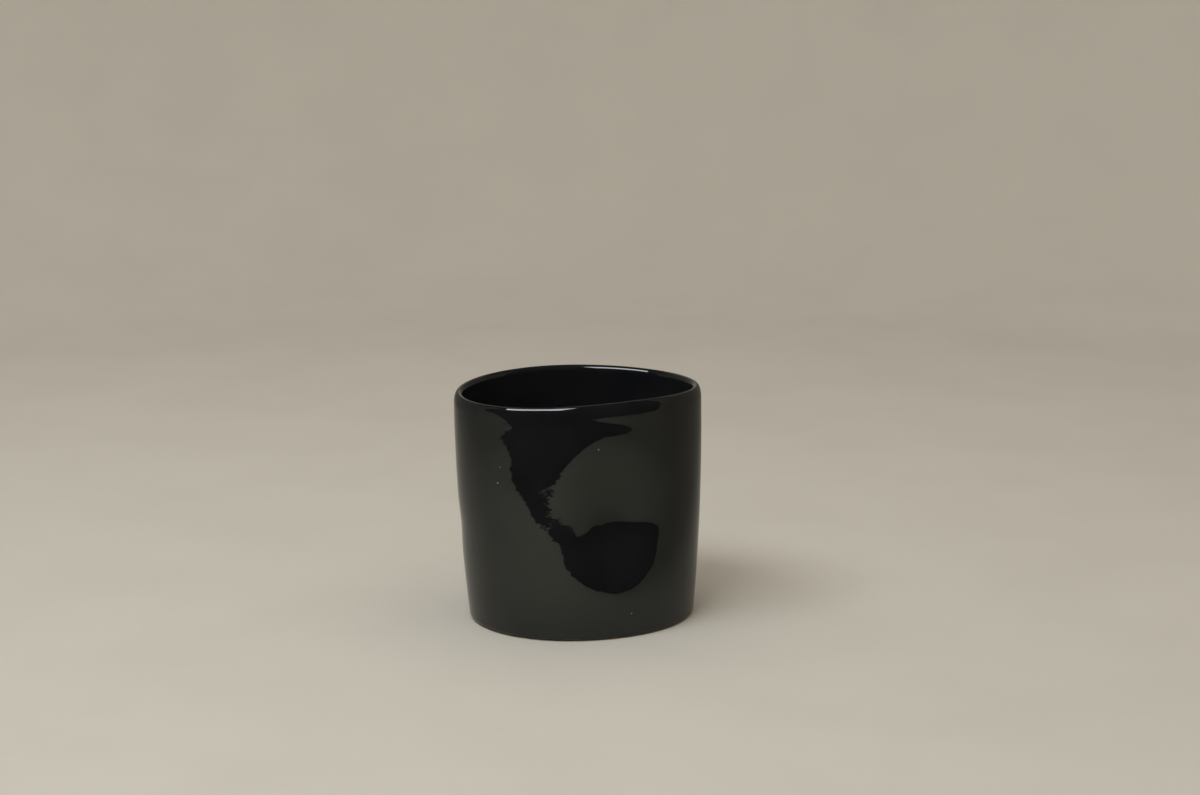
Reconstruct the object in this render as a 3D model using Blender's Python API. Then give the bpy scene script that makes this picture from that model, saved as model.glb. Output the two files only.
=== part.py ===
# Handleless mug: a clay wall on a clay base, coated inside and out with black glaze.
# Metres, +Z up. The mug stands on z = 0, the middle of its plan is on the Z axis,
# its thumb dent faces -Y and the long way of its oval lies along X.
# Each piece is turned as a round solid first, then squeezed by hand as one soft pot.

import bmesh
import bpy
from math import atan2, cos, exp, hypot, pi, radians, sin, tau

# Round pot, measured over the glaze
HEIGHT = 0.080
FOOT_RADIUS = 0.0374
RIM_RADIUS = 0.0399
BARREL = 0.0011            # swell of the wall at half height
WALL_THICKNESS = 0.0031    # clay and both coats together
LIP_OUTSIDE = 0.0045       # how far below its top the lip starts to roll in from the outside
LIP_INSIDE = 0.0018        # and how far down the roll reaches on the inside

# Layers
GLAZE = 0.0004
BOND = 0.0001              # slip or glaze bond between two pieces
LINER_JOIN = 0.0035        # how far below the lip's roll the two coats meet

# Base and corner
BASE_THICKNESS = 0.0040
FOOT_ROUND = 0.0020        # rounded edge at the foot
GLAZE_STOP = radians(38)   # how far round the foot edge the outer coat reaches
STANDING_WIDTH = 0.0060    # flat ring that the mug stands on
RECESS_DEPTH = 0.0006
RECESS_SLOPE = 0.0015
COIL_LEG = 0.0050
COIL_EDGE = 0.0002
GLAZE_POOL = 0.0020        # how much wider the glazed corner is than the coil's

# Squeezing by hand
FOOT_OVAL = 0.0021         # long radius minus mean radius
RIM_OVAL = 0.00345
DENT_DEPTH = 0.0056
DENT_HEIGHT = 0.0418
DENT_RISE = 0.0212         # distance up or down over which the dent fades
DENT_ANGLE = radians(31.3)
RIM_PULL = 0.0003          # rim drawn in above the dent
RIM_PULL_ANGLE = radians(37)
LEAN_X = -0.0007
LEAN_Y = 0.0017
RIM_TILT = 0.0004          # one side of the rim stands higher
RIM_TILT_SIDE = radians(105)
RIM_WAVE = 0.0007          # two high and two low places along the rim
RIM_WAVE_SIDE = radians(8)

# Finishes
CLAY_COLOUR = (0.50, 0.35, 0.21)
CLAY_ROUGHNESS = 0.85
BLACK_COLOUR = (0.012, 0.012, 0.011)
GLAZE_ROUGHNESS = 0.05

# Facets
SEGMENTS = 48
ROWS = 11
LIP_STEPS = 4              # on each side of the lip's top
ROUND_STEPS = 5
MERGE_DISTANCE = 0.000001
SHARP_ANGLE = radians(40)

# Depths below the glazed outside, and heights of the main levels
CLAY_OUTSIDE = GLAZE + BOND
CLAY_INSIDE = WALL_THICKNESS - GLAZE - BOND
LINER_BACK = WALL_THICKNESS - GLAZE
LIP_RADIUS = WALL_THICKNESS / 2
OUTSIDE_TOP = HEIGHT - LIP_OUTSIDE
INSIDE_TOP = HEIGHT - LIP_INSIDE
JOIN_HEIGHT = INSIDE_TOP - LINER_JOIN
FLOOR = BASE_THICKNESS + BOND
COIL_TOP = FLOOR + COIL_LEG


def body_radius(z):
    t = z / HEIGHT
    return FOOT_RADIUS + (RIM_RADIUS - FOOT_RADIUS) * t + 4 * BARREL * t * (1 - t)


def rows(low, high):
    # Heights up a stretch of wall: its two ends, and between them the rows that all pieces share
    step = (OUTSIDE_TOP - BASE_THICKNESS) / ROWS
    shared = [BASE_THICKNESS + step * i for i in range(ROWS + 1)]
    return [low] + [z for z in shared if low + step / 4 < z < high - step / 4] + [high]


def up_wall(depth, low, high):
    return [(body_radius(z) - depth, z) for z in rows(low, high)]


def down_wall(depth, high, low):
    return up_wall(depth, low, high)[::-1]


def arc(centre, radius_r, radius_z, start, end, steps):
    angles = [start + (end - start) * i / steps for i in range(steps + 1)]
    return [(centre[0] + radius_r * cos(a), centre[1] + radius_z * sin(a)) for a in angles]


def over_lip(depth):
    # Points over the lip from the outside to the inside; the walls supply its two ends
    outside = (body_radius(OUTSIDE_TOP) - LIP_RADIUS, OUTSIDE_TOP)
    inside = (body_radius(INSIDE_TOP) - LIP_RADIUS, INSIDE_TOP)
    radius = LIP_RADIUS - depth
    up = arc(outside, radius, LIP_OUTSIDE - depth, 0, pi / 2, LIP_STEPS)[1:]
    return up + arc(inside, radius, LIP_INSIDE - depth, pi / 2, pi, LIP_STEPS)[1:-1]


def foot_arc(radius, start, end):
    centre = (body_radius(FOOT_ROUND) - CLAY_OUTSIDE - FOOT_ROUND, FOOT_ROUND)
    return arc(centre, radius, radius, start, end, ROUND_STEPS)


def base_profile():
    underside = foot_arc(FOOT_ROUND, -pi / 2, 0)
    recess_edge = underside[0][0] - STANDING_WIDTH
    recess = [(0, RECESS_DEPTH), (recess_edge - RECESS_SLOPE, RECESS_DEPTH), (recess_edge, 0)]
    top_edge = (body_radius(BASE_THICKNESS) - CLAY_OUTSIDE, BASE_THICKNESS)
    return recess + underside + [top_edge, (0, BASE_THICKNESS)]


def wall_profile():
    outside = up_wall(CLAY_OUTSIDE, FLOOR, OUTSIDE_TOP)
    return outside + over_lip(CLAY_OUTSIDE) + down_wall(CLAY_INSIDE, INSIDE_TOP, FLOOR)


def coil_corner():
    # Outer foot of the coil, its top, and the centre and radii of its hollow face
    foot = body_radius(FLOOR) - CLAY_INSIDE - BOND
    top = body_radius(COIL_TOP) - CLAY_INSIDE - BOND
    centre = (foot - COIL_LEG, COIL_TOP)
    return foot, top, centre, top - COIL_EDGE - centre[0], COIL_LEG - COIL_EDGE


def coil_profile():
    foot, top, centre, radius_r, radius_z = coil_corner()
    hollow = arc(centre, radius_r, radius_z, 0, -pi / 2, ROUND_STEPS)
    return [(foot, FLOOR), (top, COIL_TOP)] + hollow + [(centre[0], FLOOR)]


def outer_glaze_profile():
    back_radius = FOOT_ROUND + BOND
    front = foot_arc(back_radius + GLAZE, -GLAZE_STOP, 0)[:-1]
    front += up_wall(0, FOOT_ROUND, OUTSIDE_TOP) + over_lip(0)
    front += down_wall(WALL_THICKNESS, INSIDE_TOP, JOIN_HEIGHT)
    back = up_wall(LINER_BACK, JOIN_HEIGHT, INSIDE_TOP) + over_lip(GLAZE)[::-1]
    back += down_wall(GLAZE, OUTSIDE_TOP, FOOT_ROUND)
    back += foot_arc(back_radius, 0, -GLAZE_STOP)[1:]
    return front + back


def liner_glaze_profile():
    foot, top, centre, radius_r, radius_z = coil_corner()
    clear = COIL_EDGE + 2 * BOND
    back = [(0, FLOOR), (centre[0] - clear, FLOOR)]
    back += arc(centre, radius_r - BOND, radius_z - BOND, -pi / 2, 0, ROUND_STEPS)
    back += up_wall(CLAY_INSIDE + BOND, COIL_TOP + clear, JOIN_HEIGHT - BOND)
    corner_top = COIL_TOP + GLAZE_POOL
    corner = (centre[0] - GLAZE_POOL, corner_top)
    floor = FLOOR + GLAZE
    corner_radius = body_radius(corner_top) - WALL_THICKNESS - corner[0]
    front = down_wall(WALL_THICKNESS, JOIN_HEIGHT - BOND, corner_top)
    front += arc(corner, corner_radius, corner_top - floor, 0, -pi / 2, ROUND_STEPS)[1:]
    return back + front + [(0, floor)]


def squeeze(x, y, z):
    # Side 0 is the dented front, at -Y, and sides count towards +X
    radius = hypot(x, y)
    side = atan2(x, -y)
    t = z / HEIGHT
    oval = (FOOT_OVAL + (RIM_OVAL - FOOT_OVAL) * t) * cos(2 * side)
    dent = DENT_DEPTH * exp(-(side / DENT_ANGLE) ** 2 - ((z - DENT_HEIGHT) / DENT_RISE) ** 2)
    pull = RIM_PULL * t ** 2 * exp(-(side / RIM_PULL_ANGLE) ** 2)
    radius -= (oval + dent + pull) * radius / body_radius(z)
    tilt = RIM_TILT * cos(side - RIM_TILT_SIDE)
    wave = RIM_WAVE * cos(2 * (side - RIM_WAVE_SIDE))
    return (
        radius * sin(side) + LEAN_X * t,
        -radius * cos(side) + LEAN_Y * t,
        z + (tilt + wave) * t ** 3,
    )


def plan_middle(profile):
    # Middle of the box round a squeezed profile, seen from above
    sides = [tau * i / SEGMENTS for i in range(SEGMENTS)]
    points = [squeeze(r * cos(a), r * sin(a), z) for r, z in profile for a in sides]
    spans = [[point[axis] for point in points] for axis in (0, 1)]
    return [(min(span) + max(span)) / 2 for span in spans]


def make_material(name, colour, roughness):
    material = bpy.data.materials.new(name)
    material.use_nodes = True
    shader = material.node_tree.nodes["Principled BSDF"]
    shader.inputs["Base Color"].default_value = (*colour, 1)
    shader.inputs["Roughness"].default_value = roughness
    shader.inputs["Metallic"].default_value = 0
    material.diffuse_color = (*colour, 1)
    return material


def make_piece(name, profile, material, middle, holder):
    turned = bmesh.new()
    corners = [turned.verts.new((r, 0, z)) for r, z in profile]
    on_axis = profile[0][0] == 0
    pairs = zip(corners, corners[1:] if on_axis else corners[1:] + corners[:1])
    edges = [turned.edges.new(pair) for pair in pairs]
    bmesh.ops.spin(
        turned, geom=corners + edges, cent=(0, 0, 0), axis=(0, 0, 1), dvec=(0, 0, 0),
        angle=tau, steps=SEGMENTS, use_duplicate=False,
    )
    bmesh.ops.remove_doubles(turned, verts=turned.verts[:], dist=MERGE_DISTANCE)
    for vert in turned.verts:
        x, y, z = squeeze(*vert.co)
        vert.co = (x - middle[0], y - middle[1], z)
    bmesh.ops.triangulate(turned, faces=turned.faces[:], quad_method="SHORT_EDGE")
    bmesh.ops.recalc_face_normals(turned, faces=turned.faces[:])
    mesh = bpy.data.meshes.new(name)
    turned.to_mesh(mesh)
    turned.free()
    mesh.shade_smooth()
    mesh.set_sharp_from_angle(angle=SHARP_ANGLE)
    mesh.materials.append(material)
    piece = bpy.data.objects.new(name, mesh)
    piece.parent = holder
    bpy.context.scene.collection.objects.link(piece)


def build_mug():
    for old in list(bpy.data.objects):
        bpy.data.objects.remove(old, do_unlink=True)
    mug = bpy.data.objects.new("mug", None)
    bpy.context.scene.collection.objects.link(mug)
    middle = plan_middle(outer_glaze_profile())
    clay = {"base": base_profile(), "wall": wall_profile(), "corner_coil": coil_profile()}
    for name, profile in clay.items():
        material = make_material(name + "_clay", CLAY_COLOUR, CLAY_ROUGHNESS)
        make_piece(name, profile, material, middle, mug)
    coats = {"outer_glaze": outer_glaze_profile(), "liner_glaze": liner_glaze_profile()}
    for name, profile in coats.items():
        material = make_material(name + "_black", BLACK_COLOUR, GLAZE_ROUGHNESS)
        make_piece(name, profile, material, middle, mug)


build_mug()
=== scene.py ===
from math import cos, pi, radians, sin, tau

import bmesh
import bpy
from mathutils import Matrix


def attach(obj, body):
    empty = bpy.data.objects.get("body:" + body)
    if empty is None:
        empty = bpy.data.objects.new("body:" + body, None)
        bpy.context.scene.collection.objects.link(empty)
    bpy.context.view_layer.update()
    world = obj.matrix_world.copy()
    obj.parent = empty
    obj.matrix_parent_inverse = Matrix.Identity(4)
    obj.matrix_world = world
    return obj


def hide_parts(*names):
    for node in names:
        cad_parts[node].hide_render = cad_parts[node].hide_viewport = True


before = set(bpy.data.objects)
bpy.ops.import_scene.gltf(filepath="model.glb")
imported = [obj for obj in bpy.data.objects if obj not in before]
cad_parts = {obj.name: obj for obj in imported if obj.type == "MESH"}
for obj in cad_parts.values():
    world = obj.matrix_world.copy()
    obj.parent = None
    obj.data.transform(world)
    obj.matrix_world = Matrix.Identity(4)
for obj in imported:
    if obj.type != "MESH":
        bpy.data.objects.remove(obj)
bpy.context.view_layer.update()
print("frame loaded:", ", ".join(sorted(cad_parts)))

# All sizes are metres. The round pot first, then how it was squeezed; these are the tree's inputs.
potShape = {
    "Height": 0.080,
    "Foot Radius": 0.0374,
    "Rim Radius": 0.0399,
    "Barrel": 0.0011,
    "Foot Oval": 0.0021,
    "Rim Oval": 0.00345,
    "Dent Depth": 0.0056,
    "Dent Height": 0.0418,
    "Dent Rise": 0.0212,
    "Dent Angle": radians(31.3),
    "Neck Depth": 0.00029,   # slight waist below the lip, above the dent
    "Neck Height": 0.07275,
    "Neck Rise": 0.00235,
    "Neck Slant": -0.0035,
    "Neck Side": radians(-25),
    "Neck Angle": radians(51),
    "Rim Pull": 0.0003,
    "Rim Pull Angle": radians(37),
    "Lean X": -0.0007,
    "Lean Y": 0.0017,
    "Rim Tilt": 0.0004,
    "Rim Tilt Side": radians(105),
    "Rim Wave": 0.0007,
    "Rim Wave Side": radians(8),
    "Middle X": -0.00063,   # box middle of the squeezed pot, taken off so that it stands centred
    "Middle Y": 0.00152,
    "Lump Depth": 0.00006,  # the uneven surface that the hands leave
    "Lump Size": 0.016,
    "Seed": 4.0,
}

# Shallow marks that the hands left: the side and height of each, its depth, and how far it
# spreads round the pot and up the wall; a swell is pushed outwards
handMarks = {
    "Palm Print": (radians(-52.7), 0.0606, 0.00028, radians(10.2), 0.0104),
    "Finger Print": (radians(-44.2), 0.0505, 0.00021, radians(4.3), 0.0091),
    "Thumb Print": (radians(-21.9), 0.0347, 0.00014, radians(4.7), 0.0034),
    "Dent Print": (radians(14.1), 0.0377, 0.00024, radians(12.3), 0.0035),
    "Lip Print": (radians(14.4), 0.0693, 0.00019, radians(9), 0.00245),
    "Lip Swell": (radians(-54), 0.0757, -0.00037, radians(6.4), 0.0026),
    "Lip Pinch": (radians(-68.2), 0.0744, 0.00054, radians(7.1), 0.006),
    "Heel Print": (radians(-38.2), 0.0249, 0.0002, radians(5.1), 0.0056),
    "Knuckle Swell": (radians(-36.2), 0.0342, -0.00005, radians(2.5), 0.0035),
    "Grip Print": (radians(-112), 0.0335, 0.0004, radians(22), 0.0065),
}
for mark, sizes in handMarks.items():
    for part, size in zip(("Side", "Height", "Depth", "Angle", "Rise"), sizes):
        potShape[f"{mark} {part}"] = size

layers = dict(
    wall=0.0031,       # clay and both coats
    glaze=0.0004,
    bond=0.0001,       # between clay and glaze
    hairline=0.00001,  # between the two coats, fused in the firing
    coatsMeet=0.0035,  # below the round of the lip
)

lipShape = dict(
    outsideDrop=0.0045,  # the lip rolls in from this far below its top
    insideDrop=0.0018,
)

footShape = dict(
    thickness=0.0040,
    edgeRound=0.0020,
    glazeStop=(radians(46), radians(24)),  # the wiped edge of the coat wanders between these
    wanderScale=3.0,
    wanderLow=0.3,   # up to this noise the coat reaches lowest
    wanderSpan=0.4,  # from there on it is wiped higher
    standingWidth=0.0060,
    recessDepth=0.0006,
    recessSlope=0.0015,
    coilLeg=0.0050,
    coilEdge=0.0002,
    glazePool=0.0020,
)

height = potShape["Height"]
lipRadius = layers["wall"] / 2
lipOutside = height - lipShape["outsideDrop"]
lipInside = height - lipShape["insideDrop"]
clayOutside = layers["glaze"] + layers["bond"]
clayInside = layers["wall"] - clayOutside
linerBack = layers["wall"] - layers["glaze"]
meetHeight = lipInside - layers["coatsMeet"]
floorHeight = footShape["thickness"] + layers["bond"]
coilTop = floorHeight + footShape["coilLeg"]


# Profiles: points (radius, height) of the round pot, in order round each piece

# how finely they are cut: the height of a row along the wall, and the pieces of each round or flat
rowHeight = dict(
    outside=0.0008,
    inside=0.0009,
    lipInside=0.0007,
    lipBack=0.0018,
    hiddenGlaze=0.002,
    clay=0.0015,
    footEdge=0.0005,
)
cutCount = dict(
    lip=20,
    hiddenLip=10,
    glazedFoot=14,
    hiddenFoot=8,
    bareFoot=18,
    bead=6,
    corner=20,
    hiddenCorner=10,
    coil=12,
    floor=12,
    recess=10,
    recessEdge=12,
)


def bodyRadius(z):
    t = z / height
    swell = 4 * potShape["Barrel"] * t * (1 - t)
    return potShape["Foot Radius"] + (potShape["Rim Radius"] - potShape["Foot Radius"]) * t + swell


def alongWall(depth, start, end, step):
    count = max(1, round(abs(end - start) / step))
    heights = [start + (end - start) * i / count for i in range(count + 1)]
    return [(bodyRadius(z) - depth, z) for z in heights]


def arcPoints(centre, radiusR, radiusZ, start, end, count):
    angles = [start + (end - start) * i / count for i in range(count + 1)]
    return [(centre[0] + radiusR * cos(a), centre[1] + radiusZ * sin(a)) for a in angles]


def overLip(depth, count):
    # from the outside over the top to the inside, that deep under the glaze
    radius = lipRadius - depth
    outside = (bodyRadius(lipOutside) - lipRadius, lipOutside)
    inside = (bodyRadius(lipInside) - lipRadius, lipInside)
    points = arcPoints(outside, radius, lipShape["outsideDrop"] - depth, 0, pi / 2, count)[1:]
    return points + arcPoints(inside, radius, lipShape["insideDrop"] - depth, pi / 2, pi, count)[1:-1]


def footArc(radius, start, end, count):
    edge = footShape["edgeRound"]
    return arcPoints((bodyRadius(edge) - clayOutside - edge, edge), radius, radius, start, end, count)


def coilCorner():
    foot = bodyRadius(floorHeight) - clayInside - layers["bond"]
    top = bodyRadius(coilTop) - clayInside - layers["bond"]
    centre = (foot - footShape["coilLeg"], coilTop)
    radiusR = top - footShape["coilEdge"] - centre[0]
    return foot, top, centre, radiusR, footShape["coilLeg"] - footShape["coilEdge"]


def glazeBead(middle, stop):
    # rounded lower edge of the outer coat
    count = cutCount["bead"]
    half = layers["glaze"] / 2
    edge = footShape["edgeRound"]
    centre = (bodyRadius(edge) - clayOutside - edge + middle * cos(stop), edge - middle * sin(stop))
    turns = [-stop + pi + pi * i / count for i in range(1, count)]
    return [(centre[0] + half * cos(a), centre[1] + half * sin(a)) for a in turns]


def outerGlazeProfile(stop):
    edge = footShape["edgeRound"]
    back = edge + layers["bond"]
    points = footArc(back + layers["glaze"], -stop, 0, cutCount["glazedFoot"])[:-1]
    points += alongWall(0, edge, lipOutside, rowHeight["outside"])
    points += overLip(0, cutCount["lip"])
    points += alongWall(layers["wall"], lipInside, meetHeight, rowHeight["lipInside"])
    points += alongWall(linerBack, meetHeight, lipInside, rowHeight["lipBack"])
    points += overLip(layers["glaze"], cutCount["hiddenLip"])[::-1]
    points += alongWall(layers["glaze"], lipOutside, edge, rowHeight["hiddenGlaze"])
    points += footArc(back, 0, -stop, cutCount["hiddenFoot"])[1:]
    points += glazeBead(back + layers["glaze"] / 2, stop)
    return points


def linerGlazeProfile():
    centre, radiusR, radiusZ = coilCorner()[2:]
    bond = layers["bond"]
    clear = footShape["coilEdge"] + 2 * bond
    meet = meetHeight - layers["hairline"]
    points = [(0, floorHeight), (centre[0] - clear, floorHeight)]
    points += arcPoints(
        centre, radiusR - bond, radiusZ - bond, -pi / 2, 0, cutCount["hiddenCorner"])
    points += alongWall(clayInside + bond, coilTop + clear, meet, rowHeight["hiddenGlaze"])
    cornerTop = coilTop + footShape["glazePool"]
    corner = (centre[0] - footShape["glazePool"], cornerTop)
    floor = floorHeight + layers["glaze"]
    cornerRadius = bodyRadius(cornerTop) - layers["wall"] - corner[0]
    points += alongWall(layers["wall"], meet, cornerTop, rowHeight["inside"])
    points += arcPoints(
        corner, cornerRadius, cornerTop - floor, 0, -pi / 2, cutCount["corner"])[1:]
    count = cutCount["floor"]
    return points + [(corner[0] * (1 - i / count), floor) for i in range(1, count + 1)]


def baseProfile():
    underside = footArc(footShape["edgeRound"], -pi / 2, 0, cutCount["bareFoot"])
    recessEdge = underside[0][0] - footShape["standingWidth"]
    slope = footShape["recessSlope"]
    rise = footShape["recessDepth"]
    flat = recessEdge - slope
    count = cutCount["recess"]
    points = [(flat * i / count, rise) for i in range(count)]
    # the recess runs out into the standing ring in a soft S
    count = cutCount["recessEdge"]
    for i in range(count + 1):
        points.append((flat + slope * i / count, rise * (1 + cos(pi * i / count)) / 2))
    points += underside
    points += alongWall(
        clayOutside, footShape["edgeRound"], footShape["thickness"], rowHeight["footEdge"])[1:]
    return points + [(0, footShape["thickness"])]


def wallProfile():
    points = alongWall(clayOutside, floorHeight, lipOutside, rowHeight["clay"])
    points += overLip(clayOutside, cutCount["hiddenLip"])
    return points + alongWall(clayInside, lipInside, floorHeight, rowHeight["clay"])


def coilProfile():
    foot, top, centre, radiusR, radiusZ = coilCorner()
    hollow = arcPoints(centre, radiusR, radiusZ, 0, -pi / 2, cutCount["coil"])
    return [(foot, floorHeight), (top, coilTop)] + hollow + [(centre[0], floorHeight)]


# The squeezing rule as a node tree

def feedSocket(tree, entry, value):
    # a term or another socket is linked, and a plain value is set
    if isinstance(value, Term):
        tree.links.new(value.socket, entry)
    elif isinstance(value, bpy.types.NodeSocket):
        tree.links.new(value, entry)
    else:
        entry.default_value = value


class Term:
    # a number on its way through a node tree, so that the rule reads as plain arithmetic
    def __init__(self, tree, socket):
        self.tree = tree
        self.socket = socket

    def combine(self, operation, *others):
        node = self.tree.nodes.new("ShaderNodeMath")
        node.operation = operation
        for entry, value in zip(node.inputs, (self, *others)):
            feedSocket(self.tree, entry, value)
        return Term(self.tree, node.outputs[0])

    def __add__(self, other):
        return self.combine("ADD", other)

    def __sub__(self, other):
        return self.combine("SUBTRACT", other)

    def __mul__(self, other):
        return self.combine("MULTIPLY", other)

    def __truediv__(self, other):
        return self.combine("DIVIDE", other)

    def squared(self):
        return self * self

    def fading(self):
        # bell curve, 1 at zero
        return (self.squared() * -1).combine("EXPONENT")


def nodeInTree(tree, kind, settings=None, **links):
    # links name the node's inputs with underscores for spaces
    node = tree.nodes.new(kind)
    for key, value in (settings or {}).items():
        setattr(node, key, value)
    for key, value in links.items():
        feedSocket(tree, node.inputs[key.replace("_", " ")], value)
    return node


meshFinish = dict(
    seam=0.000002,           # points nearer than this are one
    sharpEdge=radians(50),
)


def squeezedPotTree():
    tree = bpy.data.node_groups.new("squeezedPot", "GeometryNodeTree")
    face = tree.interface
    face.new_socket("Profile", in_out="INPUT", socket_type="NodeSocketGeometry")
    for label in ("Points", "Segments"):
        face.new_socket(label, in_out="INPUT", socket_type="NodeSocketInt")
    for label in potShape:
        face.new_socket(label, in_out="INPUT", socket_type="NodeSocketFloat")
    face.new_socket("Glaze or Clay", in_out="INPUT", socket_type="NodeSocketMaterial")
    face.new_socket("Piece", in_out="OUTPUT", socket_type="NodeSocketGeometry")

    entry = tree.nodes.new("NodeGroupInput").outputs
    given = {label: Term(tree, entry[label]) for label in ("Points", "Segments", *potShape)}

    # a sheet of points, one row for each point of the profile and one more column than segments
    columns = given["Segments"] + 1
    sheetRows = given["Points"]
    sheet = nodeInTree(tree, "GeometryNodeMeshGrid", Vertices_X=sheetRows, Vertices_Y=columns)
    index = Term(tree, tree.nodes.new("GeometryNodeInputIndex").outputs[0])
    row = (index / columns).combine("FLOOR")
    column = index - row * columns
    place = tree.nodes.new("GeometryNodeInputPosition").outputs[0]
    wiped = nodeInTree(
        tree, "GeometryNodeInputNamedAttribute", dict(data_type="FLOAT_VECTOR"), Name="wiped")

    # side 0 is the dented front, and sides count towards +X
    side = (column / given["Segments"] - 0.5) * tau
    outX = side.combine("SINE")
    outY = side.combine("COSINE") * -1

    # the profile as it was coated, and as it is where the foot was wiped higher
    states = []
    for state in (place, wiped.outputs[0]):
        onProfile = nodeInTree(
            tree, "GeometryNodeSampleIndex", dict(data_type="FLOAT_VECTOR"),
            Geometry=entry["Profile"], Value=state, Index=row)
        spot = nodeInTree(tree, "ShaderNodeSeparateXYZ", Vector=onProfile.outputs[0]).outputs
        states.append((Term(tree, spot["X"]), Term(tree, spot["Z"])))
    around = nodeInTree(tree, "ShaderNodeCombineXYZ", X=outX, Y=outY)
    wander = nodeInTree(
        tree, "ShaderNodeTexNoise", dict(noise_dimensions="4D"), Vector=around.outputs[0],
        W=given["Seed"], Scale=footShape["wanderScale"], Detail=2.0)
    share = (Term(tree, wander.outputs[0]) - footShape["wanderLow"]) / footShape["wanderSpan"]
    share = share.combine("MAXIMUM", 0.0).combine("MINIMUM", 1.0)
    radius = states[0][0] + (states[1][0] - states[0][0]) * share
    z = states[0][1] + (states[1][1] - states[0][1]) * share
    t = z / given["Height"]
    body = given["Foot Radius"] + (given["Rim Radius"] - given["Foot Radius"]) * t
    body = body + given["Barrel"] * 4 * t * (t * -1 + 1)
    oval = given["Foot Oval"] + (given["Rim Oval"] - given["Foot Oval"]) * t
    oval = oval * (side * 2).combine("COSINE")
    dent = (side / given["Dent Angle"]).fading()
    dent = given["Dent Depth"] * dent * ((z - given["Dent Height"]) / given["Dent Rise"]).fading()
    neckHeight = given["Neck Height"] + given["Neck Slant"] * outX
    neck = given["Neck Depth"] * ((side - given["Neck Side"]) / given["Neck Angle"]).fading()
    pressed = dent + neck * ((z - neckHeight) / given["Neck Rise"]).fading()
    for mark in handMarks:
        spread = ((side - given[mark + " Side"]) / given[mark + " Angle"]).fading()
        rise = ((z - given[mark + " Height"]) / given[mark + " Rise"]).fading()
        pressed = pressed + given[mark + " Depth"] * spread * rise
    pull = given["Rim Pull"] * t.squared() * (side / given["Rim Pull Angle"]).fading()
    squeezed = radius - (oval + pressed + pull) * radius / body
    tilt = given["Rim Tilt"] * (side - given["Rim Tilt Side"]).combine("COSINE")
    wave = given["Rim Wave"] * ((side - given["Rim Wave Side"]) * 2).combine("COSINE")
    raised = z + (tilt + wave) * t.squared() * t
    shiftX = given["Lean X"] * t - given["Middle X"]
    shiftY = given["Lean Y"] * t - given["Middle Y"]
    smooth = nodeInTree(
        tree, "ShaderNodeCombineXYZ",
        X=squeezed * outX + shiftX, Y=squeezed * outY + shiftY, Z=raised)
    lumps = nodeInTree(
        tree, "ShaderNodeTexNoise", dict(noise_dimensions="4D"), Vector=smooth.outputs[0],
        W=given["Seed"], Scale=given["Lump Size"].combine("POWER", -1.0), Detail=1.0)
    # the standing face stays flat and round, and the lumps grow above it
    uneven = (Term(tree, lumps.outputs[0]) - 0.5) * given["Lump Depth"] * (radius / body)
    uneven = uneven * (z / footShape["thickness"]).combine("MINIMUM", 1.0)
    lumpy = squeezed + uneven
    final = nodeInTree(
        tree, "ShaderNodeCombineXYZ",
        X=lumpy * outX + shiftX, Y=lumpy * outY + shiftY, Z=raised)

    # the surface unrolled in metres, for what lies on it: along the foot, then up the profile
    unrolled = nodeInTree(tree, "ShaderNodeSeparateXYZ", Vector=sheet.outputs["UV Map"]).outputs
    along = Term(tree, unrolled["Y"]) * given["Foot Radius"] * tau
    onPoints = nodeInTree(
        tree, "GeometryNodeFieldOnDomain", dict(data_type="FLOAT", domain="POINT"), Value=z)
    wrap = nodeInTree(tree, "ShaderNodeCombineXYZ", X=along, Y=onPoints.outputs[0])
    wrapped = nodeInTree(
        tree, "GeometryNodeStoreNamedAttribute", dict(data_type="FLOAT2", domain="CORNER"),
        Geometry=sheet.outputs["Mesh"], Name="wrap", Value=wrap.outputs[0])
    shaped = nodeInTree(
        tree, "GeometryNodeSetPosition", Geometry=wrapped.outputs[0], Position=final.outputs[0])
    closed = nodeInTree(
        tree, "GeometryNodeMergeByDistance", Geometry=shaped.outputs[0], Distance=meshFinish["seam"])
    shaded = nodeInTree(tree, "GeometryNodeSetShadeSmooth", Geometry=closed.outputs[0])
    realized = nodeInTree(tree, "GeometryNodeRealizeInstances", Geometry=shaded.outputs[0])
    finished = nodeInTree(
        tree, "GeometryNodeSetMaterial", Geometry=realized.outputs[0],
        Material=entry["Glaze or Clay"])
    leave = tree.nodes.new("NodeGroupOutput")
    tree.links.new(finished.outputs[0], leave.inputs["Piece"])
    return tree


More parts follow.
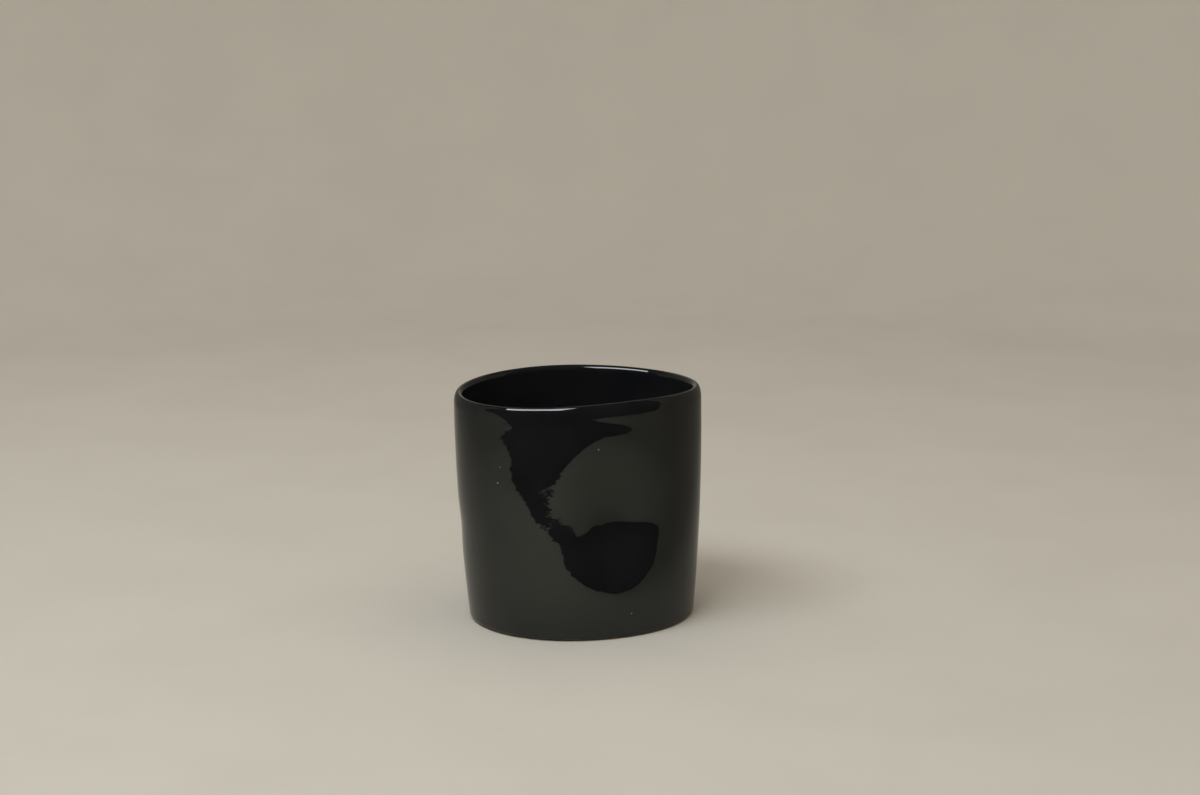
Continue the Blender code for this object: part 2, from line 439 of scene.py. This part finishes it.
def makePotPiece(name, tree, profile, wipedProfile, segments, material):
    # a profile that starts on the axis is open, any other runs back to its start
    closing = [] if profile[0][0] == 0 else [0]
    order = list(range(len(profile))) + closing
    outline = bpy.data.meshes.new(name + "Profile")
    outline.from_pydata([(profile[i][0], 0, profile[i][1]) for i in order], [], [])
    wiped = outline.attributes.new("wiped", "FLOAT_VECTOR", "POINT")
    for spot, i in zip(wiped.data, order):
        spot.vector = (wipedProfile[i][0], 0, wipedProfile[i][1])
    maker = bpy.data.objects.new(name + "Maker", outline)
    bpy.context.scene.collection.objects.link(maker)
    modifier = maker.modifiers.new("squeezedPot", "NODES")
    modifier.node_group = tree
    values = {"Points": len(order), "Segments": segments, "Glaze or Clay": material, **potShape}
    for item in tree.interface.items_tree:
        if item.in_out == "INPUT" and item.name in values:
            modifier[item.identifier] = values[item.name]
    evaluated = maker.evaluated_get(bpy.context.evaluated_depsgraph_get())
    mesh = bpy.data.meshes.new_from_object(evaluated)
    mesh.name = name
    bpy.data.objects.remove(maker, do_unlink=True)
    shell = bmesh.new()
    shell.from_mesh(mesh)
    bmesh.ops.recalc_face_normals(shell, faces=shell.faces[:])
    shell.to_mesh(mesh)
    shell.free()
    mesh.shade_smooth()
    mesh.set_sharp_from_angle(angle=meshFinish["sharpEdge"])
    piece = bpy.data.objects.new(name, mesh)
    bpy.context.scene.collection.objects.link(piece)
    return piece


# Finishes

glazeFinish = dict(
    black=(0.0077, 0.0081, 0.0090, 1),
    cloud=(0.0104, 0.0107, 0.0113, 1),
    cloudSize=0.018,
    cloudNoise=(0.35, 0.65),
    ior=1.58,
    mirrorTint=(0.93, 1.0, 0.90, 1),      # a faint olive cast in what it mirrors
    breakBrown=(0.060, 0.034, 0.018, 1),  # where the coat runs thin at the foot
    breakHeight=0.0011,
    hazeSize=0.009,
    hazeNoise=(0.4, 0.8),
    roughness=(0.02, 0.045),
    peelSize=0.0028,
    peelDepth=0.000018,
    pinholeCell=0.011,
    pinholeShare=0.10,
    pinholeRadii=(0.00012, 0.00024),
    pinholeFloor=0.5,                     # share of the radius, the rest slopes up
    pinholeDepth=0.00008,
    pinholeClay=(0.45, 0.42, 0.37, 1),
)

clayFinish = dict(
    buff=(0.50, 0.35, 0.21, 1),
    toasted=(0.36, 0.22, 0.12, 1),
    toastedMost=0.35,      # in clouds, and fully where the fire catches the edge of the foot
    toastedEdge=(0.86, 0.98),
    toastedWander=0.1,
    cloudSize=0.012,
    cloudNoise=(0.3, 0.7),
    grogDark=(0.16, 0.10, 0.06, 1),
    grogCell=0.0016,
    grogEdge=(0.08, 0.2),  # soft rim of a speck, in cells
    grogShare=0.25,
    grainSize=0.0005,
    grainNoise=(0.2, 0.8),
    grainDepth=0.00005,
    roughness=(0.78, 0.95),
)


def newMaterial(name):
    material = bpy.data.materials.new(name)
    material.use_nodes = True
    shader = material.node_tree.nodes["Principled BSDF"]
    return material, material.node_tree, shader


def colourMix(tree, share, low, high):
    node = nodeInTree(tree, "ShaderNodeMix", dict(data_type="RGBA"))
    # the colour sockets of a mix node share their names with those for numbers, so they go by place
    for place, value in ((0, share), (6, low), (7, high)):
        feedSocket(tree, node.inputs[place], value)
    return node.outputs[2]


def remap(tree, value, fromLow, fromHigh, toLow=0.0, toHigh=1.0):
    node = nodeInTree(
        tree, "ShaderNodeMapRange", dict(interpolation_type="SMOOTHSTEP"), Value=value,
        From_Min=fromLow, From_Max=fromHigh, To_Min=toLow, To_Max=toHigh)
    return Term(tree, node.outputs[0])


def noiseTerm(tree, coords, size, detail):
    node = nodeInTree(tree, "ShaderNodeTexNoise", Vector=coords, Scale=1 / size, Detail=detail)
    return Term(tree, node.outputs[0])


def blackGlaze(name):
    look = glazeFinish
    material, tree, shader = newMaterial(name)
    coords = tree.nodes.new("ShaderNodeTexCoord").outputs["Object"]
    cloud = noiseTerm(tree, coords, look["cloudSize"], detail=3.0)
    cloudy = remap(tree, cloud, *look["cloudNoise"])
    body = colourMix(tree, cloudy, look["black"], look["cloud"])
    wrap = nodeInTree(tree, "ShaderNodeUVMap", dict(uv_map="wrap")).outputs[0]
    level = Term(tree, nodeInTree(tree, "ShaderNodeSeparateXYZ", Vector=wrap).outputs["Y"])
    thin = remap(tree, level, 0.0, look["breakHeight"], 1.0, 0.0)
    body = colourMix(tree, thin, body, look["breakBrown"])

    # a few pinholes, down to the pale clay
    cells = nodeInTree(
        tree, "ShaderNodeTexVoronoi", dict(voronoi_dimensions="2D"), Vector=wrap,
        Scale=1 / look["pinholeCell"])
    chosen = nodeInTree(tree, "ShaderNodeSeparateColor", Color=cells.outputs["Color"])
    radius = remap(tree, Term(tree, chosen.outputs["Green"]), 0.0, 1.0, *look["pinholeRadii"])
    reach = Term(tree, cells.outputs["Distance"]) * look["pinholeCell"] / radius
    pit = remap(tree, reach, look["pinholeFloor"], 1.0, 1.0, 0.0)
    pit = pit * Term(tree, chosen.outputs["Red"]).combine("GREATER_THAN", 1 - look["pinholeShare"])
    body = colourMix(tree, pit, body, look["pinholeClay"])
    tree.links.new(body, shader.inputs["Base Color"])
    haze = noiseTerm(tree, coords, look["hazeSize"], detail=4.0)
    rough = remap(tree, haze, *look["hazeNoise"], *look["roughness"])
    tree.links.new(rough.socket, shader.inputs["Roughness"])
    shader.inputs["IOR"].default_value = look["ior"]
    shader.inputs["Specular Tint"].default_value = look["mirrorTint"]

    # orange peel, with the pinholes sunk into it
    peel = noiseTerm(tree, coords, look["peelSize"], detail=2.0)
    peelBump = nodeInTree(
        tree, "ShaderNodeBump", Height=peel, Distance=look["peelDepth"], Strength=1.0)
    pinBump = nodeInTree(
        tree, "ShaderNodeBump", Height=pit * -1, Distance=look["pinholeDepth"], Strength=1.0,
        Normal=peelBump.outputs[0])
    tree.links.new(pinBump.outputs[0], shader.inputs["Normal"])
    return material


def bareClay(name):
    look = clayFinish
    material, tree, shader = newMaterial(name)
    coords = tree.nodes.new("ShaderNodeTexCoord").outputs["Object"]
    cloud = noiseTerm(tree, coords, look["cloudSize"], detail=5.0)
    spot = nodeInTree(tree, "ShaderNodeSeparateXYZ", Vector=coords).outputs
    across = Term(tree, spot["X"]) / (potShape["Foot Radius"] + potShape["Foot Oval"])
    along = Term(tree, spot["Y"]) / (potShape["Foot Radius"] - potShape["Foot Oval"])
    outward = (across.squared() + along.squared()).combine("SQRT")
    flash = remap(tree, outward + (cloud - 0.5) * look["toastedWander"], *look["toastedEdge"])
    toast = remap(tree, cloud, *look["cloudNoise"], 0.0, look["toastedMost"])
    toast = toast.combine("MAXIMUM", flash)
    body = colourMix(tree, toast, look["buff"], look["toasted"])
    cells = nodeInTree(tree, "ShaderNodeTexVoronoi", Vector=coords, Scale=1 / look["grogCell"])
    speck = remap(tree, Term(tree, cells.outputs["Distance"]), *look["grogEdge"], 1.0, 0.0)
    picked = nodeInTree(tree, "ShaderNodeSeparateColor", Color=cells.outputs["Color"])
    speck = speck * Term(tree, picked.outputs["Red"]).combine("GREATER_THAN", 1 - look["grogShare"])
    tree.links.new(colourMix(tree, speck, body, look["grogDark"]), shader.inputs["Base Color"])
    grain = noiseTerm(tree, coords, look["grainSize"], detail=3.0)
    rough = remap(tree, grain, *look["grainNoise"], *look["roughness"])
    tree.links.new(rough.socket, shader.inputs["Roughness"])
    bump = nodeInTree(
        tree, "ShaderNodeBump", Height=grain, Distance=look["grainDepth"], Strength=1.0)
    tree.links.new(bump.outputs[0], shader.inputs["Normal"])
    return material


# Making the mug

potTree = squeezedPotTree()
pieces = dict(
    outerGlaze=dict(node="outer_glaze", profile=outerGlazeProfile(footShape["glazeStop"][0]),
                    wiped=outerGlazeProfile(footShape["glazeStop"][1]), segments=360,
                    material=blackGlaze("outerBlackGlaze"), slot="black_glaze"),
    linerGlaze=dict(node="liner_glaze", profile=linerGlazeProfile(), segments=300,
                    material=blackGlaze("linerBlackGlaze"), slot="black_glaze"),
    clayBase=dict(node="base", profile=baseProfile(), segments=240,
                  material=bareClay("baseClay"), slot="bare_clay"),
    clayWall=dict(node="wall", profile=wallProfile(), segments=180,
                  material=bareClay("wallClay"), slot="bare_clay"),
    cornerCoil=dict(node="corner_coil", profile=coilProfile(), segments=180,
                    material=bareClay("coilClay"), slot="bare_clay"),
)
for name, plan in pieces.items():
    wiped = plan.get("wiped", plan["profile"])
    piece = makePotPiece(
        name, potTree, plan["profile"], wiped, plan["segments"], plan["material"])
    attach(piece, "root")
    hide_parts(plan["node"])
    print("made", name, len(piece.data.polygons), "faces")


# Camera, at the photo's angle

cameraPlace = dict(
    stand=(-0.3053, -0.7122, 0.2333),
    turn=radians(-23.754),
    lookDown=radians(11.487),
    lens=69.0,
    sensor=36.0,
    nearest=0.01,
)
camera = bpy.data.objects.new("camera", bpy.data.cameras.new("camera"))
camera.location = cameraPlace["stand"]
camera.rotation_euler = (pi / 2 - cameraPlace["lookDown"], 0, cameraPlace["turn"])
camera.data.lens = cameraPlace["lens"]
camera.data.sensor_width = cameraPlace["sensor"]
camera.data.clip_start = cameraPlace["nearest"]
bpy.context.scene.collection.objects.link(camera)
bpy.context.scene.camera = camera
print("camera placed")

# Stage: a pale floor that sweeps up all round into a backdrop

stageShape = dict(
    flat=0.60,
    sweep=0.45,
    top=1.1,
    drop=0.00005,        # just under the foot
    sweepRows=24,
    turns=96,
    seam=0.0001,
    colour=(0.50, 0.465, 0.395, 1),
    cloud=(0.485, 0.45, 0.382, 1),
    cloudSize=0.06,
    cloudNoise=(0.35, 0.7),
    roughness=0.9,
    specular=0.1,
    # painted shade that only the glaze's reflections see: the floor is painted black in front of a
    # line and painted darker away from the lit patch;
    # where each change starts and ends, and the share of light seen before and after it
    paintedDarkFront=(-0.1965, -0.1925, 0.0, 1.0),
    paintedShadeBack=(-0.123, -0.024, 1.0, 0.82),
    paintedShadeLeft=(-0.36, -0.01, 0.45, 1.0),
    paintedShadeRight=(-0.05, 0.23, 1.0, 0.42),
)


def floorMaterial():
    look = stageShape
    material, tree, shader = newMaterial("paleFloor")
    coords = tree.nodes.new("ShaderNodeTexCoord").outputs["Object"]
    cloud = noiseTerm(tree, coords, look["cloudSize"], detail=5.0)
    cloudy = remap(tree, cloud, *look["cloudNoise"])
    body = colourMix(tree, cloudy, look["colour"], look["cloud"])
    tree.links.new(body, shader.inputs["Base Color"])
    shader.inputs["Roughness"].default_value = look["roughness"]
    shader.inputs["Specular IOR Level"].default_value = look["specular"]
    spot = nodeInTree(tree, "ShaderNodeSeparateXYZ", Vector=coords).outputs
    turn = cameraPlace["turn"]
    behind = Term(tree, spot["X"]) * -sin(turn) + Term(tree, spot["Y"]) * cos(turn)
    sideways = Term(tree, spot["X"]) * cos(turn) + Term(tree, spot["Y"]) * sin(turn)
    # painted shade, seen only in the glaze's reflections: black in front of a line, and darker away
    # from the lit patch
    seen = remap(tree, behind, *look["paintedDarkFront"]) * remap(tree, behind, *look["paintedShadeBack"])
    seen = seen * remap(tree, sideways, *look["paintedShadeLeft"])
    seen = seen * remap(tree, sideways, *look["paintedShadeRight"])
    mirrored = Term(tree, tree.nodes.new("ShaderNodeLightPath").outputs["Is Glossy Ray"])
    # the black that glossy rays get where the floor's painted shade is
    paintedShadeBsdf = tree.nodes.new("ShaderNodeBsdfDiffuse")
    paintedShadeBsdf.inputs["Color"].default_value = (0, 0, 0, 1)
    mix = tree.nodes.new("ShaderNodeMixShader")
    tree.links.new(((seen * -1 + 1) * mirrored).socket, mix.inputs[0])
    tree.links.new(shader.outputs[0], mix.inputs[1])
    tree.links.new(paintedShadeBsdf.outputs[0], mix.inputs[2])
    tree.links.new(mix.outputs[0], tree.nodes["Material Output"].inputs["Surface"])
    return material


def makeFloor():
    look = stageShape
    outline = [(0.0, 0.0), (look["flat"], 0.0)]
    centre = (look["flat"], look["sweep"])
    outline += arcPoints(centre, look["sweep"], look["sweep"], -pi / 2, 0, look["sweepRows"])[1:]
    outline += [(look["flat"] + look["sweep"], look["top"])]
    bowl = bmesh.new()
    corners = [bowl.verts.new((r, 0, z - look["drop"])) for r, z in outline]
    edges = [bowl.edges.new(pair) for pair in zip(corners, corners[1:])]
    bmesh.ops.spin(
        bowl, geom=corners + edges, cent=(0, 0, 0), axis=(0, 0, 1), angle=tau, steps=look["turns"],
        use_duplicate=False)
    bmesh.ops.remove_doubles(bowl, verts=bowl.verts[:], dist=look["seam"])
    bmesh.ops.recalc_face_normals(bowl, faces=bowl.faces[:])
    bmesh.ops.reverse_faces(bowl, faces=bowl.faces[:])
    mesh = bpy.data.meshes.new("floor")
    bowl.to_mesh(mesh)
    bowl.free()
    mesh.shade_smooth()
    mesh.materials.append(floorMaterial())
    floor = bpy.data.objects.new("floor", mesh)
    bpy.context.scene.collection.objects.link(floor)


makeFloor()
print("stage set")

# Light: one soft box high on the left, and an even fill from all round

lightPlan = dict(
    boxHeight=radians(58),
    boxAway=1.1,
    # each lamp: its turn from the camera's side towards the left, its size, its power, its colour
    light=(radians(-38), (0.72, 0.42), 7.5, (0.86, 0.915, 1.0)),
    glint=(radians(-34), (1.08, 0.45), 14.5, (0.88, 0.85, 1.0)),   # seen in the glaze only
    fill=0.95,
    fillColour=(1.0, 0.97, 0.935, 1),
    background=(0.42, 0.39, 0.335, 1),
    ceiling=(0.012, 0.012, 0.013, 1),   # what the glaze mirrors above the stage
)


def makeSoftBox(name):
    plan = lightPlan
    turn, size, power, colour = plan[name]
    lamp = bpy.data.lights.new(name, "AREA")
    lamp.shape = "RECTANGLE"
    lamp.size, lamp.size_y = size
    lamp.energy = power
    lamp.color = colour
    softBox = bpy.data.objects.new(name, lamp)
    flat = plan["boxAway"] * cos(plan["boxHeight"])
    side = cameraPlace["turn"] + turn
    spot = (flat * sin(side), -flat * cos(side), plan["boxAway"] * sin(plan["boxHeight"]))
    softBox.location = spot
    softBox.rotation_euler = (pi / 2 - plan["boxHeight"], 0, side)
    softBox.visible_camera = False
    softBox.visible_glossy = name == "glint"
    softBox.visible_diffuse = name == "light"
    bpy.context.scene.collection.objects.link(softBox)


def makeWorld():
    plan = lightPlan
    world = bpy.data.worlds.new("softFill")
    world.use_nodes = True
    bpy.context.scene.world = world
    tree = world.node_tree
    fill = tree.nodes["Background"]
    fill.inputs["Color"].default_value = plan["fillColour"]
    fill.inputs["Strength"].default_value = plan["fill"]
    path = tree.nodes.new("ShaderNodeLightPath")
    shown = fill.outputs[0]
    for ray, colour in (("Is Glossy Ray", plan["ceiling"]), ("Is Camera Ray", plan["background"])):
        seen = tree.nodes.new("ShaderNodeBackground")
        seen.inputs["Color"].default_value = colour
        mix = tree.nodes.new("ShaderNodeMixShader")
        tree.links.new(path.outputs[ray], mix.inputs[0])
        tree.links.new(shown, mix.inputs[1])
        tree.links.new(seen.outputs[0], mix.inputs[2])
        shown = mix.outputs[0]
    tree.links.new(shown, tree.nodes["World Output"].inputs["Surface"])


makeSoftBox("light")
makeSoftBox("glint")
makeWorld()
bpy.context.scene.view_settings.view_transform = "Standard"
print("lit")
